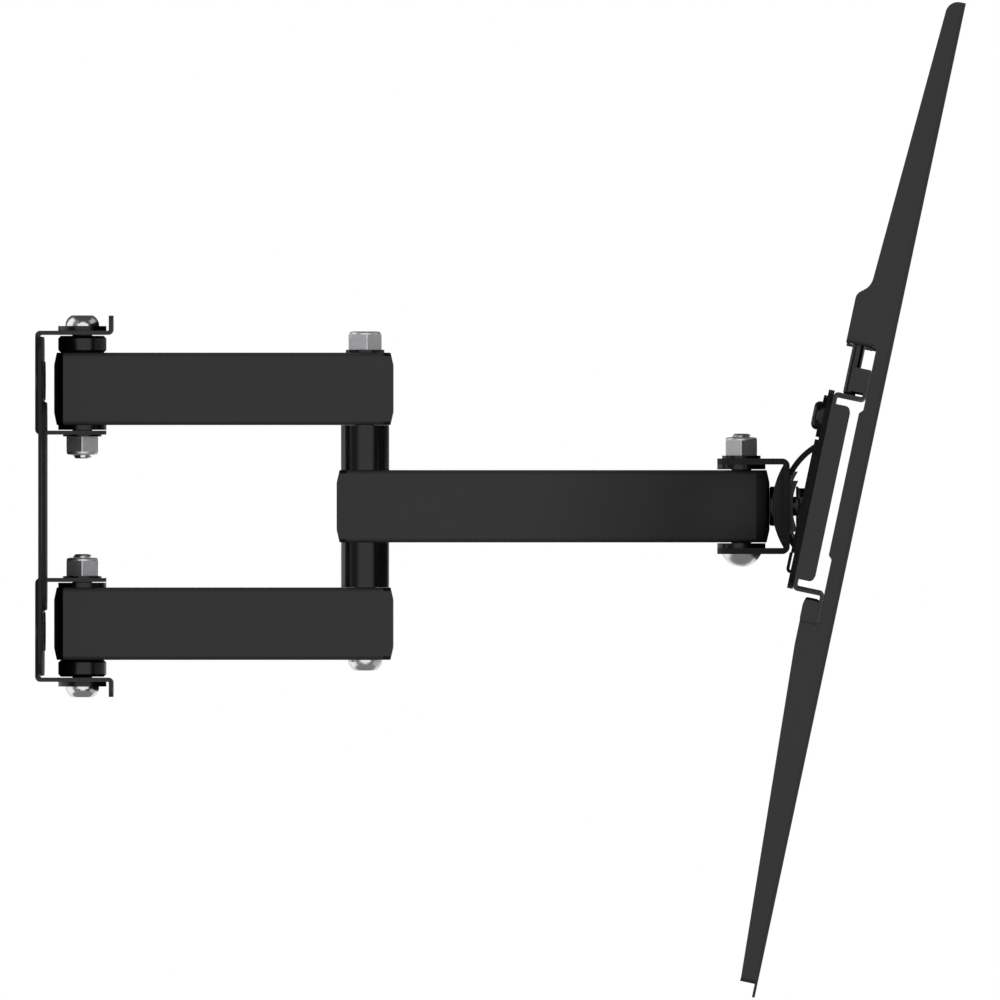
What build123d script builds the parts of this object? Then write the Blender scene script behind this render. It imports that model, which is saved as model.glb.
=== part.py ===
"""Full motion wall mount for a VESA 400 x 400 screen, in millimetres.

Two rear arms swivel on a wall plate and carry a front arm at the elbow. The front arm
carries a clevis that swivels on its end, and the clevis carries the head, which tilts by
sliding a curved plate in a curved dish. Two rails hook over the head's crossbar. Each
rail slides along it and is raised, locked and levelled by its own height screw.

+X points from the wall into the room, +Y along the wall and +Z up. The origin is the
centre of the wall plate's back face. The arms stand straight out and the head is tilted
fully forward, with its rails at the ends of the crossbar.
"""

import os
from math import asin, cos, radians, sin, sqrt, tan

from build123d import *

# Fits
running_gap = 0.05  # radial play of a pivot on its bolt, and of the tilt slide
swivel_gap = 0.3  # play between faces that swivel past each other
seat_gap = 0.02  # play between a fastener and what it is fixed in
weld_gap = 0.05  # play between the elbow spacers and the rear arms

# M8 pivot bolts and lock nuts
bolt_d = 8.0
bolt_root_d = 6.8  # bottom of the thread that shows past a nut
bolt_tip = 0.6  # chamfer at the end of a shank
bolt_end = 1.6  # length of that thread
button_d = 14.0
button_h = 4.4
button_flat_d = 8.8
button_rim = 0.9
button_rise = 0.5  # of the dome over the chord from rim to flat
socket_af = 5.0
socket_depth = 2.6
nut_af = 13.0
corner_on = 30.0  # turn of a nut, in degrees, that shows two sides along Y
nut_hex_h = 6.3
nut_edge = 0.5  # radius of a lock nut's six upright edges
nut_collar_d = 12.9
nut_collar_h = 1.2
nut_collar_round = 0.8
nut_chamfer = 0.9  # at both ends of a plain nut
nut_washer_d = 16.0
nut_washer_t = 0.8
lock_washer_t = 1.2  # under the nuts of the elbow and the head pivot
pivot_washer_d = 20.0
pivot_washer_t = 2.0
fixed_bore_d = 8.4

# Arms: rectangular tube with plastic end caps
tube_h = 30.0
tube_w = 20.0
tube_wall = 1.8
tube_corner = 2.2
tube_bore_d = 9.0
cap_bulge = 1.7  # reach of a cap past the half width of the tube, seen from the pivot
cap_l = 4.0  # visible length of a cap
cap_edge = 0.1  # straight part of a round cap's side, beside the seam
cap_recess = 1.2  # fall of a cap's end face at top and bottom
cap_edge_round = 0.3
cap_bevel = 5.2  # height of that slope
cap_round = 5.0
cap_plug = 14.0
cap_fit = 0.2
cap_bore_d = 9.0

# Wall plate
plate_w = 80.0
plate_t = 1.35
plate_corner = 8.0
plate_edge_gap = 0.85  # between the plate's edge and the outer flanges
field_w = 46.0  # raised field
field_h = 87.2
field_rise = 1.48
field_corner = 9.0
field_slope = 25.0  # degrees
pad_w = 24.0  # raised pads round the wall slots
pad_h = 16.0
pad_rise = 0.48
slot_pitch_y = 54.0
slot_pitch_z = 104.0
slot_length = 14.0
slot_w = 8.5

# Wall brackets
bracket_t = 1.65
bracket_w = 36.0
bracket_bend = 0.5
bracket_nose_r = 10.0
lip_reach = 12.8  # from the pivot to the lip's face
lip_h = 6.3
lip_w = 26.0
lip_round = 3.0
bracket_slot_gap = 0.25
wall_pivot_x = 17.6
bush_t = 7.0
bush_chamfer = 1.1
bush_gap = 0.4

# Pivot spacings
rear_arm_pitch = 117.2
front_arm_pitch = 155.9
elbow_spacer_l = 18.6
spacer_bore_d = 14.0
elbow_nut_turn = 7.0

# Clevis
clevis_t = 2.5
clevis_w = 40.0
clevis_bend = 0.6
clevis_nose_r = 10.0
clevis_room = 8.35  # from the front arm's nose to the clevis face
dome_d = 16.3
dome_h = 5.2

# Tilt slide: curved pieces about one tilt axis
tilt_head_gap = 0.15  # from the front arm's nose to the tilt bolt's head
tilt_down = 12.0  # degrees of forward tilt as modelled
tilt_travel = 17.0  # degrees back from there
curve_r = 30.25  # outer radius of the head's curved plate
curve_t = 2.34
curve_w = 24.0
dish_w = 26.0
dish_t = 2.3
liner_t = 0.7
inner_washer_t = 1.1
inner_washer_h = 28.8
inner_washer_w = 22.0
outer_washer_t = 1.9
outer_washer_h = 21.2
outer_washer_w = 18.0
tilt_flange_d = 16.4
tilt_head_t = 0.87  # at the middle of its curved seat
tilt_flange_h = 2.0
tilt_flange_rim = 0.8
tilt_hex_h = 6.0
curve_slot_w = 8.2

# Head: sizes along the head's own depth (from the screen towards the wall) and height
axis_depth = 2.67  # tilt axis behind the screen's face
axis_drop = 2.98  # tilt axis below the middle of the head
web_depth = 19.68  # wall side of the crossbar's web
head_gap = 0.12  # between the crossbar and the head plate
head_t = 2.38
head_w = 110.0
head_h = 83.9
head_rise = 0.35  # middle of the head plate above the middle of the crossbar
head_corner = 8.0
window_w = 27.0
window_margin = 0.6  # from the window to the foot of the curved plate
window_corner = 4.0
collar_t = 1.5
collar_h = 48.0
head_screw_rise = 30.9
head_screw_pitch = 66.0
head_screw_d = 6.0
head_screw_bore_d = 6.6
head_washer_d = 17.6
head_washer_t = 1.5
pan_d = 11.8
pan_h = 3.0
pan_round = 2.3
recess_l = 6.6
recess_w = 1.4
recess_depth = 2.2
head_nut_af = 10.0
head_nut_h = 5.0

# Crossbar: one hat section
bar_t = 1.33
bar_bend = 0.7
bar_h = 83.2  # over the flanges
lip_depth = 6.63  # screen side of the lips
bar_lip_h = 11.5  # lips past the flanges
end_flange_h = 73.4
end_flange_depth = 11.8
end_flange_corner = 2.1
end_tab_depth = 14.3
upper_tab_gap = 1.65  # from the flange to the tab
lower_tab_gap = 2.75
end_tab_corner = 1.2
lower_tab_corner = 2.2
bar_window_w = 44.0
bar_window_h = 40.0
bar_slot_l = 46.0
bar_slot_w = 34.0
bar_slot_reach = 92.0  # from the middle to the first slot's centre
bar_slot_pitch = 66.0
bar_slot_count = 2
hook_w = 24.0
hook_drop = 34.8
hook_depth = 24.15
hook_tip_drop = 27.0
hook_bend = 0.6
hook_slot_gap = 0.6

# Rails
vesa = 400.0
rail_end = 8.25  # from the last hole to the rail's end
rail_t = 1.15
rail_w = 28.0
rail_bend = 1.2
rail_margin = 14.0  # from the hole column to the web's outer face
rail_fit = 0.12  # between a rail and the lips
rail_end_gap = 0.3  # between a rail and the end tabs
web_bottom_gap = 5.5  # the flange runs this far past the web's lower end
web_bottom_depth = 7.25
web_top_depth = 7.15
web_top_corner = 5.2
block_depth = 19.2
block_top = 82.7
block_round = 4.0
block_bottom = 62.2
shoulder_depth = 13.95
shoulder_rise = 4.1  # from the block's top to the shoulder
shoulder_round = 7.0
rail_drop = 9.0  # travel down from as modelled, to unhook
belly_depth = 8.0  # middle of the web, inside the hat
belly_top = 36.4
belly_bottom = -26.1
belly_round = 1.0
hook_inner_gap = 0.2
lower_hook_depth = 14.1
lower_hook_drop = 2.5  # from the crossbar's lower flange to the tip
lower_hook_shoulder = -63.2
lower_hook_round = 6.0
hook_tip_round = 1.2
foot_w = 9.0  # inward fold at the web's lower end
foot_overlap = 0.15  # of that fold and the flange
shelf_w = 15.0
rail_hole_d = 8.5
rail_slot_l = 62.0
height_screw_d = 5.0
height_screw_depth = 13.7
height_screw_inset = 7.5  # from the web's inner face
height_screw_spare = 3.87  # thread between its nut and its head
height_head_d = 8.5
height_head_h = 5.0
height_nut_af = 8.0
height_nut_h = 4.0
height_tip_round = 0.9
height_socket_af = 4.0
rail_corner = 5.0

# Worked-out heights on the wall side
nut_h = nut_hex_h + nut_collar_h
rear_bottom = tube_h / 2 + elbow_spacer_l + weld_gap
rear_middle = rear_bottom + tube_h / 2
rear_top = rear_bottom + tube_h
inner_flange_top = rear_bottom - pivot_washer_t - swivel_gap
inner_flange_bottom = inner_flange_top - bracket_t
outer_flange_bottom = rear_top + bush_t + bush_gap
outer_flange_top = outer_flange_bottom + bracket_t
plate_h = 2 * (outer_flange_bottom - plate_edge_gap)

# Worked-out places along the arms
elbow_x = wall_pivot_x + rear_arm_pitch
head_pivot_x = elbow_x + front_arm_pitch
cap_reach = tube_w / 2 + cap_bulge
square_end = cap_reach - cap_l  # from a pivot to the end of its tube
round_end = sqrt(cap_reach**2 - (tube_w / 2) ** 2) - cap_edge
bow = cap_l - cap_edge
bowed_nose_r = ((tube_w / 2) ** 2 + bow**2) / (2 * bow)

# Worked-out sizes of the tilt slide
clevis_flange_bottom = tube_h / 2 + pivot_washer_t + swivel_gap
clevis_flange_top = clevis_flange_bottom + clevis_t
clevis_face_x = head_pivot_x + cap_reach + clevis_room
clevis_inside_x = clevis_face_x - clevis_t
liner_r = curve_r + running_gap
dish_r = liner_r + liner_t + seat_gap
dish_back_r = dish_r + dish_t
tilt_reach = cap_reach + tilt_head_gap + tilt_head_t + seat_gap + dish_back_r
tilt_axis_x = head_pivot_x + tilt_reach
curve_inner_r = curve_r - curve_t
inner_washer_r = curve_inner_r - running_gap
outer_washer_r = inner_washer_r - inner_washer_t - seat_gap
nut_seat_r = outer_washer_r - outer_washer_t

# Worked-out places on the head
lean = radians(tilt_down)
outward = Vector(cos(lean), 0, -sin(lean))  # out of the screen's face
upward = Vector(sin(lean), 0, cos(lean))
tilt_axis = Vector(tilt_axis_x, 0, 0)
head_origin = tilt_axis + outward * axis_depth + upward * axis_drop
head_side = Plane(head_origin, x_dir=-outward, z_dir=(0, 1, 0))  # x depth, y height
head_face = Plane(head_origin, x_dir=(0, 1, 0), z_dir=outward)  # x along the bar, y height
web_face = web_depth - bar_t
plate_face = web_depth + head_gap
plate_back = plate_face + head_t
window_h = 2 * (sqrt(curve_inner_r**2 - (plate_back - axis_depth) ** 2) - window_margin)
lip_back = lip_depth + bar_t
bar_lip_top = bar_h / 2 + bar_lip_h
height_head_seat = block_bottom + rail_t + height_nut_h + height_screw_spare
height_screw_l = height_head_seat - bar_h / 2 - seat_gap
rail_l = vesa + 2 * rail_end
rail_outer = vesa / 2 + rail_margin
rail_web = rail_outer - rail_t
fold_outer_r = rail_bend + rail_t
behind_lip = lip_back + hook_inner_gap
bar_l = 2 * (rail_outer + rail_end_gap + bar_t)
notch_top = bar_lip_top + rail_drop + rail_end_gap
notch_bottom = bar_lip_top + rail_end_gap
lower_hook_tip = -bar_h / 2 - lower_hook_drop


def facing_up(x, z):
    """The level plane at height z whose origin lies over x."""
    return Plane((x, 0, z))


def facing_down(x, z):
    """The same plane seen from below."""
    return Plane((x, 0, z), x_dir=(1, 0, 0), z_dir=(0, 0, -1))


def through_axis(seat):
    """The plane that holds the seat's normal: x runs outwards and y along the normal."""
    return Plane(seat.origin, x_dir=seat.x_dir, z_dir=-seat.y_dir)


def rounded_outline(corners):
    """A closed line through corners that are each given as x, y and a radius."""
    places = [(x, y) for x, y, _ in corners]
    return FilletPolyline(*places, radius=[radius for _, _, radius in corners], close=True)


def ring(seat, outer_d, bore_d, thickness, edge=0.0):
    """A flat washer or bush that stands on its seat."""
    with BuildPart() as body:
        with BuildSketch(seat):
            Circle(outer_d / 2)
        extrude(amount=thickness)
        if edge:
            chamfer(body.edges().filter_by(GeomType.CIRCLE), edge)
        with BuildSketch(seat):
            Circle(bore_d / 2)
        extrude(amount=thickness, mode=Mode.SUBTRACT)
    return body.part


def shank_end(length):
    """Outline of a shank's lower end, from its middle up to full width at the seat."""
    root = bolt_root_d / 2
    return [
        (0, -length),
        (root - bolt_tip, -length),
        (root, bolt_tip - length),
        (root, bolt_end - length),
        (bolt_d / 2, bolt_end - length),
        (bolt_d / 2, 0),
    ]


def button_bolt(seat, length):
    """A button head bolt: the seat is under the head and its normal leaves the head."""
    with BuildPart() as bolt:
        with BuildSketch(through_axis(seat)):
            with BuildLine():
                Polyline(
                    (button_flat_d / 2, button_h),
                    (0, button_h),
                    *shank_end(length),
                    (button_d / 2, 0),
                    (button_d / 2, button_rim),
                )
                SagittaArc((button_d / 2, button_rim), (button_flat_d / 2, button_h), -button_rise)
            make_face()
        revolve(axis=Axis(seat.origin, seat.z_dir))
        with BuildSketch(seat.offset(button_h)):
            RegularPolygon(socket_af / 2, 6, major_radius=False)
        extrude(amount=-socket_depth, mode=Mode.SUBTRACT)
    return bolt.part


def hexagon_blank(seat, flats, height, corner):
    """A round blank, chamfered at both ends, that trims the corners of a hexagon."""
    with BuildPart() as blank:
        with BuildSketch(seat):
            Circle(flats / sqrt(3))
        extrude(amount=height)
        chamfer(blank.edges().filter_by(GeomType.CIRCLE), corner)
    return blank.part


def hexagon_nut(seat, flats, height, corner, bore_d):
    """A plain nut that stands on its seat."""
    with BuildPart() as nut:
        with BuildSketch(seat):
            RegularPolygon(flats / 2, 6, major_radius=False, rotation=corner_on)
        extrude(amount=height)
        add(hexagon_blank(seat, flats, height, corner), mode=Mode.INTERSECT)
        with BuildSketch(seat):
            Circle(bore_d / 2)
        extrude(amount=height, mode=Mode.SUBTRACT)
    return nut.part


def lock_nut(seat, turn=corner_on):
    """An M8 nut with the round collar that holds its nylon ring."""
    with BuildPart() as nut:
        with BuildSketch(seat):
            hexagon = RegularPolygon(nut_af / 2, 6, major_radius=False, rotation=turn)
            fillet(hexagon.vertices(), nut_edge)
        extrude(amount=nut_hex_h)
        with BuildSketch(seat.offset(nut_hex_h)):
            Circle(nut_collar_d / 2)
        extrude(amount=nut_collar_h)
        ends = nut.faces().sort_by(lambda face: (face.center() - seat.origin).dot(seat.z_dir))
        fillet(ends[-1].edges(), nut_collar_round)
        with BuildSketch(seat):
            Circle(bolt_d / 2 + seat_gap)
        extrude(amount=nut_h, mode=Mode.SUBTRACT)
    return nut.part


def bent_sheet(plane, points, thickness, bend, width):
    """Sheet folded along the middle line through the points, centred on the plane."""
    with BuildPart() as sheet:
        with BuildSketch(plane):
            with BuildLine():
                FilletPolyline(*points, radius=bend + thickness / 2)
            trace(line_width=thickness)
        extrude(amount=width / 2, both=True)
    return sheet.part


# ---------------------------------------------------------------- wall side


def wall_plate_body():
    """The plate: a raised field, four slotted pads and the slits for the brackets."""
    with BuildPart() as plate:
        with BuildSketch(Plane.YZ):
            RectangleRounded(plate_w, plate_h, plate_corner)
        extrude(amount=plate_t)
        with BuildSketch(Plane.YZ.offset(plate_t)):
            RectangleRounded(field_w, field_h, field_corner)
        extrude(amount=field_rise, taper=field_slope)
        with BuildSketch(Plane.YZ.offset(plate_t)):
            with GridLocations(slot_pitch_y, slot_pitch_z, 2, 2):
                RectangleRounded(pad_w, pad_h, pad_h / 2 - pad_rise)
        extrude(amount=pad_rise)
        with BuildSketch(Plane.YZ):
            RectangleRounded(
                field_w - 2 * plate_t, field_h - 2 * plate_t, field_corner - plate_t
            )
        extrude(amount=field_rise, taper=field_slope, mode=Mode.SUBTRACT)
        with BuildSketch(Plane.YZ):
            with GridLocations(slot_pitch_y, slot_pitch_z, 2, 2):
                SlotOverall(slot_length, slot_w)
            with GridLocations(0, inner_flange_top + inner_flange_bottom, 1, 2):
                Rectangle(
                    bracket_w + 2 * bracket_slot_gap, bracket_t + 2 * bracket_slot_gap
                )
        extrude(amount=plate_t + field_rise, mode=Mode.SUBTRACT)
    return plate.part


def bracket_outline():
    """What the bracket keeps in plan: a round nosed inner flange and a lipped outer one."""
    split = (inner_flange_top + outer_flange_bottom) / 2
    top = outer_flange_top + lip_h
    back = -bracket_t / 2
    with BuildPart() as outline:
        with BuildSketch(Plane.XY):
            with Locations((wall_pivot_x, 0)):
                Circle(bracket_nose_r)
            with Locations((back, 0)):
                Rectangle(bracket_t + bracket_bend, bracket_w)
            make_hull()
        extrude(amount=split)
        with BuildSketch(Plane.XY.offset(split)):
            with Locations((wall_pivot_x + lip_reach / 2, 0)):
                Rectangle(lip_reach, lip_w)
            with Locations((back, 0)):
                Rectangle(bracket_t + bracket_bend, bracket_w)
            make_hull()
        extrude(amount=top - split)
    return outline.part


def wall_bracket():
    """The upper bracket: a C of sheet whose outer flange ends in a lip."""
    half = bracket_t / 2
    inner = inner_flange_bottom + half
    outer = outer_flange_bottom + half
    lip = wall_pivot_x + lip_reach - half
    points = [
        (wall_pivot_x + bracket_nose_r, inner),
        (-half, inner),
        (-half, outer),
        (lip, outer),
        (lip, outer_flange_top + lip_h),
    ]
    with BuildPart() as bracket:
        add(bent_sheet(Plane.XZ, points, bracket_t, bracket_bend, bracket_w))
        add(bracket_outline(), mode=Mode.INTERSECT)
        lip_corners = bracket.faces().sort_by(Axis.Z)[-1].edges().sort_by(SortBy.LENGTH)[:2]
        fillet(lip_corners, lip_round)
        with BuildSketch(facing_up(wall_pivot_x, 0)):
            Circle(fixed_bore_d / 2)
        extrude(amount=outer_flange_top, mode=Mode.SUBTRACT)
    return bracket.part


def pair(upper):
    """A piece of the upper pivot with its twin at the lower pivot."""
    with BuildPart() as both:
        add(upper)
        mirror(about=Plane.XY)
    return both.part


# ---------------------------------------------------------------- arms


def arm_tube(start_x, end_x, middle, end_reach):
    """A tube round two pivots; it runs on by end_reach past the second."""
    with BuildPart() as tube:
        with BuildSketch(Plane.YZ.offset(start_x - square_end)):
            with Locations((0, middle)):
                RectangleRounded(tube_w, tube_h, tube_corner)
                RectangleRounded(
                    tube_w - 2 * tube_wall,
                    tube_h - 2 * tube_wall,
                    tube_corner / 2,
                    mode=Mode.SUBTRACT,
                )
        extrude(amount=end_x - start_x + square_end + end_reach)
        with BuildSketch(Plane.XY.offset(middle - tube_h / 2)):
            with Locations((start_x, 0), (end_x, 0)):
                Circle(tube_bore_d / 2)
        extrude(amount=tube_h, mode=Mode.SUBTRACT)
    return tube.part


def end_cap(pivot_x, way, middle, tube_reach, nose_r=0.0):
    """A cap on the tube's end past a pivot, on the room side where way is 1, else on the
    wall side. Its end is square in plan, or an arc of nose_r."""
    seam = pivot_x + way * tube_reach
    tip = pivot_x + way * cap_reach
    edge = tip - way * cap_recess
    low = middle - tube_h / 2
    high = middle + tube_h / 2
    side = [
        (seam, low, 0),
        (edge, low, cap_edge_round),
        (tip, low + cap_bevel, cap_round),
        (tip, high - cap_bevel, cap_round),
        (edge, high, cap_edge_round),
        (seam, high, 0),
    ]
    with BuildPart() as cap:
        with BuildSketch(Plane.YZ.offset(seam)):
            with Locations((0, middle)):
                RectangleRounded(tube_w, tube_h, tube_corner)
        extrude(amount=tip - seam)
        if nose_r:
            with BuildSketch(Plane.XY.offset(low)):
                with Locations((tip - way * nose_r, 0)):
                    Circle(nose_r)
            extrude(amount=tube_h, mode=Mode.INTERSECT)
        with BuildSketch(Plane.XZ):
            with BuildLine():
                rounded_outline(side)
            make_face()
        extrude(amount=tube_w / 2, both=True, mode=Mode.INTERSECT)
        with BuildSketch(Plane.YZ.offset(seam)):
            with Locations((0, middle)):
                RectangleRounded(
                    tube_w - 2 * tube_wall - 2 * cap_fit,
                    tube_h - 2 * tube_wall - 2 * cap_fit,
                    tube_corner / 2,
                )
        extrude(amount=-way * (cap_plug + tube_reach))
        with BuildSketch(Plane.XY.offset(low)):
            with Locations((pivot_x, 0)):
                Circle(cap_bore_d / 2)
        extrude(amount=tube_h, mode=Mode.SUBTRACT)
    return cap.part


def rear_caps(middle):
    """The caps of a rear arm: bowed at the wall, where it swings past the plate."""
    with BuildPart() as caps:
        add(end_cap(wall_pivot_x, -1, middle, square_end, bowed_nose_r))
        add(end_cap(elbow_x, 1, middle, square_end))
    return caps.part


# ---------------------------------------------------------------- clevis and tilt slide


def curved_strip(outer_r, thickness, height, width):
    """Sheet bent about the tilt axis, cut level at top and bottom, on the wall side of it."""
    with BuildPart() as strip:
        with BuildSketch(Plane.XZ):
            with Locations((tilt_axis_x, 0)):
                Circle(outer_r)
                Circle(outer_r - thickness, mode=Mode.SUBTRACT)
            with Locations((tilt_axis_x - outer_r / 2, 0)):
                Rectangle(outer_r, height, mode=Mode.INTERSECT)
        extrude(amount=width / 2, both=True)
        with BuildSketch(Plane.YZ.offset(tilt_axis_x - outer_r)):
            Circle(fixed_bore_d / 2)
        extrude(amount=outer_r, mode=Mode.SUBTRACT)
    return strip.part


def clevis_outline():
    """The clevis in plan: a round nose about the pivot that widens to the face."""
    with BuildPart() as outline:
        with BuildSketch(Plane.XY.offset(-clevis_flange_top)):
            with Locations((head_pivot_x, 0)):
                Circle(clevis_nose_r)
            with Locations((clevis_face_x - clevis_t, 0)):
                Rectangle(2 * clevis_t, clevis_w)
            make_hull()
        extrude(amount=2 * clevis_flange_top)
    return outline.part


def clevis_body():
    """A C of sheet round the arm's end, with the dish of the tilt slide pressed in its face."""
    nose = head_pivot_x - clevis_nose_r
    back = clevis_face_x - clevis_t / 2
    flange = clevis_flange_bottom + clevis_t / 2
    points = [(nose, flange), (back, flange), (back, -flange), (nose, -flange)]
    with BuildPart() as clevis:
        add(bent_sheet(Plane.XZ, points, clevis_t, clevis_bend, clevis_w))
        add(clevis_outline(), mode=Mode.INTERSECT)
        with BuildSketch(Plane.XZ):
            with Locations((tilt_axis_x, 0)):
                Circle(dish_back_r)
            with Locations((clevis_inside_x - dish_back_r / 2 + seat_gap, 0)):
                Rectangle(dish_back_r, 2 * clevis_flange_bottom, mode=Mode.INTERSECT)
        extrude(amount=dish_w / 2 + dish_t, both=True)
        with BuildSketch(Plane.XZ):
            with Locations((tilt_axis_x, 0)):
                Circle(dish_r)
        extrude(amount=dish_w / 2, both=True, mode=Mode.SUBTRACT)
        with BuildSketch(Plane.XY.offset(-clevis_flange_top)):
            with Locations((head_pivot_x, 0)):
                Circle(fixed_bore_d / 2)
        extrude(amount=2 * clevis_flange_top, mode=Mode.SUBTRACT)
        with BuildSketch(Plane.YZ.offset(head_pivot_x)):
            Circle(fixed_bore_d / 2)
        extrude(amount=tilt_reach, mode=Mode.SUBTRACT)
    return clevis.part


def dome_bolt(seat, length):
    """The head pivot's bolt: the seat is under its full dome."""
    dome_r = (dome_h**2 + (dome_d / 2) ** 2) / (2 * dome_h)
    half_turn = asin(dome_d / 2 / dome_r) / 2
    with BuildPart() as bolt:
        with BuildSketch(through_axis(seat)):
            with BuildLine():
                Polyline(
                    (0, dome_h),
                    *shank_end(length),
                    (dome_d / 2, 0),
                )
                ThreePointArc(
                    (dome_d / 2, 0),
                    (dome_r * sin(half_turn), dome_h - dome_r * (1 - cos(half_turn))),
                    (0, dome_h),
                )
            make_face()
        revolve(axis=Axis(seat.origin, seat.z_dir))
    return bolt.part


# ---------------------------------------------------------------- pieces

os.makedirs("parts", exist_ok=True)

with BuildPart() as wall_plate:
    add(wall_plate_body())

with BuildPart() as wall_bracket_upper:
    add(wall_bracket())

with BuildPart() as wall_bracket_lower:
    add(mirror(wall_bracket(), about=Plane.XY))

wall_bolt_seat = outer_flange_top + pivot_washer_t
wall_nut_seat = inner_flange_bottom - nut_washer_t
wall_bolt_l = wall_bolt_seat - wall_nut_seat + nut_h + bolt_end

with BuildPart() as wall_pivot_bolts:
    add(pair(button_bolt(facing_up(wall_pivot_x, wall_bolt_seat), wall_bolt_l)))

with BuildPart() as wall_pivot_nuts:
    add(pair(lock_nut(facing_down(wall_pivot_x, wall_nut_seat))))

with BuildPart() as wall_head_washers:
    seat = facing_up(wall_pivot_x, outer_flange_top)
    add(pair(ring(seat, pivot_washer_d, fixed_bore_d, pivot_washer_t)))

with BuildPart() as wall_nut_washers:
    seat = facing_down(wall_pivot_x, inner_flange_bottom)
    add(pair(ring(seat, nut_washer_d, fixed_bore_d, nut_washer_t)))

running_bore_d = bolt_d + 2 * running_gap

with BuildPart() as wall_bushes:
    seat = facing_up(wall_pivot_x, rear_top)
    add(pair(ring(seat, pivot_washer_d, running_bore_d, bush_t, bush_chamfer)))

with BuildPart() as wall_thrust_washers:
    seat = facing_down(wall_pivot_x, rear_bottom)
    add(pair(ring(seat, pivot_washer_d, running_bore_d, pivot_washer_t)))

with BuildPart() as rear_arm_upper:
    add(arm_tube(wall_pivot_x, elbow_x, rear_middle, square_end))

with BuildPart() as rear_arm_lower:
    add(arm_tube(wall_pivot_x, elbow_x, -rear_middle, square_end))

with BuildPart() as rear_caps_upper:
    add(rear_caps(rear_middle))

with BuildPart() as rear_caps_lower:
    add(rear_caps(-rear_middle))

elbow_bolt_l = 2 * rear_top + lock_washer_t + nut_h

with BuildPart() as elbow_bolt:
    add(button_bolt(facing_down(elbow_x, -rear_top), elbow_bolt_l))

with BuildPart() as elbow_washer:
    add(ring(facing_up(elbow_x, rear_top), nut_washer_d, fixed_bore_d, lock_washer_t))

with BuildPart() as elbow_nut:
    add(lock_nut(facing_up(elbow_x, rear_top + lock_washer_t), corner_on + elbow_nut_turn))

with BuildPart() as elbow_spacers:
    add(pair(ring(facing_up(elbow_x, tube_h / 2), pivot_washer_d, spacer_bore_d, elbow_spacer_l)))

with BuildPart() as elbow_bushes:
    seat = facing_up(elbow_x, tube_h / 2)
    fitted_d = spacer_bore_d - 2 * seat_gap
    add(pair(ring(seat, fitted_d, running_bore_d, elbow_spacer_l)))

with BuildPart() as front_arm:
    add(arm_tube(elbow_x, head_pivot_x, 0, round_end))

with BuildPart() as front_caps:
    # the room end is round about the pivot, to turn inside the clevis
    add(end_cap(elbow_x, -1, 0, square_end))
    add(end_cap(head_pivot_x, 1, 0, round_end, cap_reach))

with BuildPart() as head_thrust_washers:
    seat = facing_down(head_pivot_x, clevis_flange_bottom)
    add(pair(ring(seat, pivot_washer_d, running_bore_d, pivot_washer_t)))

with BuildPart() as clevis:
    add(clevis_body())

head_nut_seat = clevis_flange_top + lock_washer_t
head_bolt_l = clevis_flange_top + head_nut_seat + nut_h + bolt_end

with BuildPart() as head_pivot_bolt:
    add(dome_bolt(facing_down(head_pivot_x, -clevis_flange_top), head_bolt_l))

with BuildPart() as head_pivot_washer:
    seat = facing_up(head_pivot_x, clevis_flange_top)
    add(ring(seat, nut_washer_d, fixed_bore_d, lock_washer_t))

with BuildPart() as head_pivot_nut:
    add(lock_nut(facing_up(head_pivot_x, head_nut_seat)))

with BuildPart() as tilt_liner:
    add(curved_strip(liner_r + liner_t, liner_t, inner_washer_h, curve_w))

with BuildPart() as tilt_inner_washer:
    add(curved_strip(inner_washer_r, inner_washer_t, inner_washer_h, inner_washer_w))

with BuildPart() as tilt_outer_washer:
    add(curved_strip(outer_washer_r, outer_washer_t, outer_washer_h, outer_washer_w))

# The tilt bolt's thin head seats on the curved back of the dish, its nut on the washers
tilt_head_x = tilt_axis_x - dish_back_r - seat_gap - tilt_head_t
tilt_rim = tilt_flange_d / 2
tilt_nut_x = tilt_axis_x - sqrt(nut_seat_r**2 - tilt_rim**2) + seat_gap
tilt_nut_h = tilt_flange_h + tilt_hex_h
tilt_bolt_l = tilt_nut_x + tilt_nut_h + bolt_end - tilt_head_x

with BuildPart() as tilt_bolt:
    with BuildSketch(Plane.YZ.offset(tilt_head_x)):
        Circle(tilt_rim)
    extrude(amount=tilt_flange_h + tilt_head_t)
    fillet(tilt_bolt.edges().group_by(Axis.X)[0], tilt_head_t / 2)
    with BuildSketch(Plane.XZ):
        with Locations((tilt_axis_x, 0)):
            Circle(dish_back_r + seat_gap)
    extrude(amount=tilt_rim, both=True, mode=Mode.SUBTRACT)
    with BuildSketch(Plane.YZ.offset(tilt_head_x + tilt_head_t / 2)):
        Circle(bolt_d / 2)
    extrude(amount=tilt_bolt_l - tilt_head_t / 2)
    chamfer(tilt_bolt.edges().group_by(Axis.X)[-1], bolt_tip)

with BuildPart() as tilt_nut:
    base = Plane.YZ.offset(tilt_nut_x)
    add(hexagon_nut(base, nut_af, tilt_nut_h, nut_chamfer, bolt_d + 2 * seat_gap))
    with BuildSketch(through_axis(base)):
        with BuildLine():
            Polyline(
                (bolt_d / 2 + seat_gap, 0),
                (tilt_rim, 0),
                (tilt_rim, tilt_flange_rim),
                (nut_af / 2, tilt_flange_h),
                (bolt_d / 2 + seat_gap, tilt_flange_h),
                close=True,
            )
        make_face()
    revolve(axis=Axis(base.origin, base.z_dir))

# ---------------------------------------------------------------- head


def wall_ray(turn):
    """The plane on the tilt axis that faces the wall, turned up by so many degrees."""
    aim = radians(turn)
    return Plane(tilt_axis, x_dir=(0, 1, 0), z_dir=(-cos(aim), 0, sin(aim)))


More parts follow.
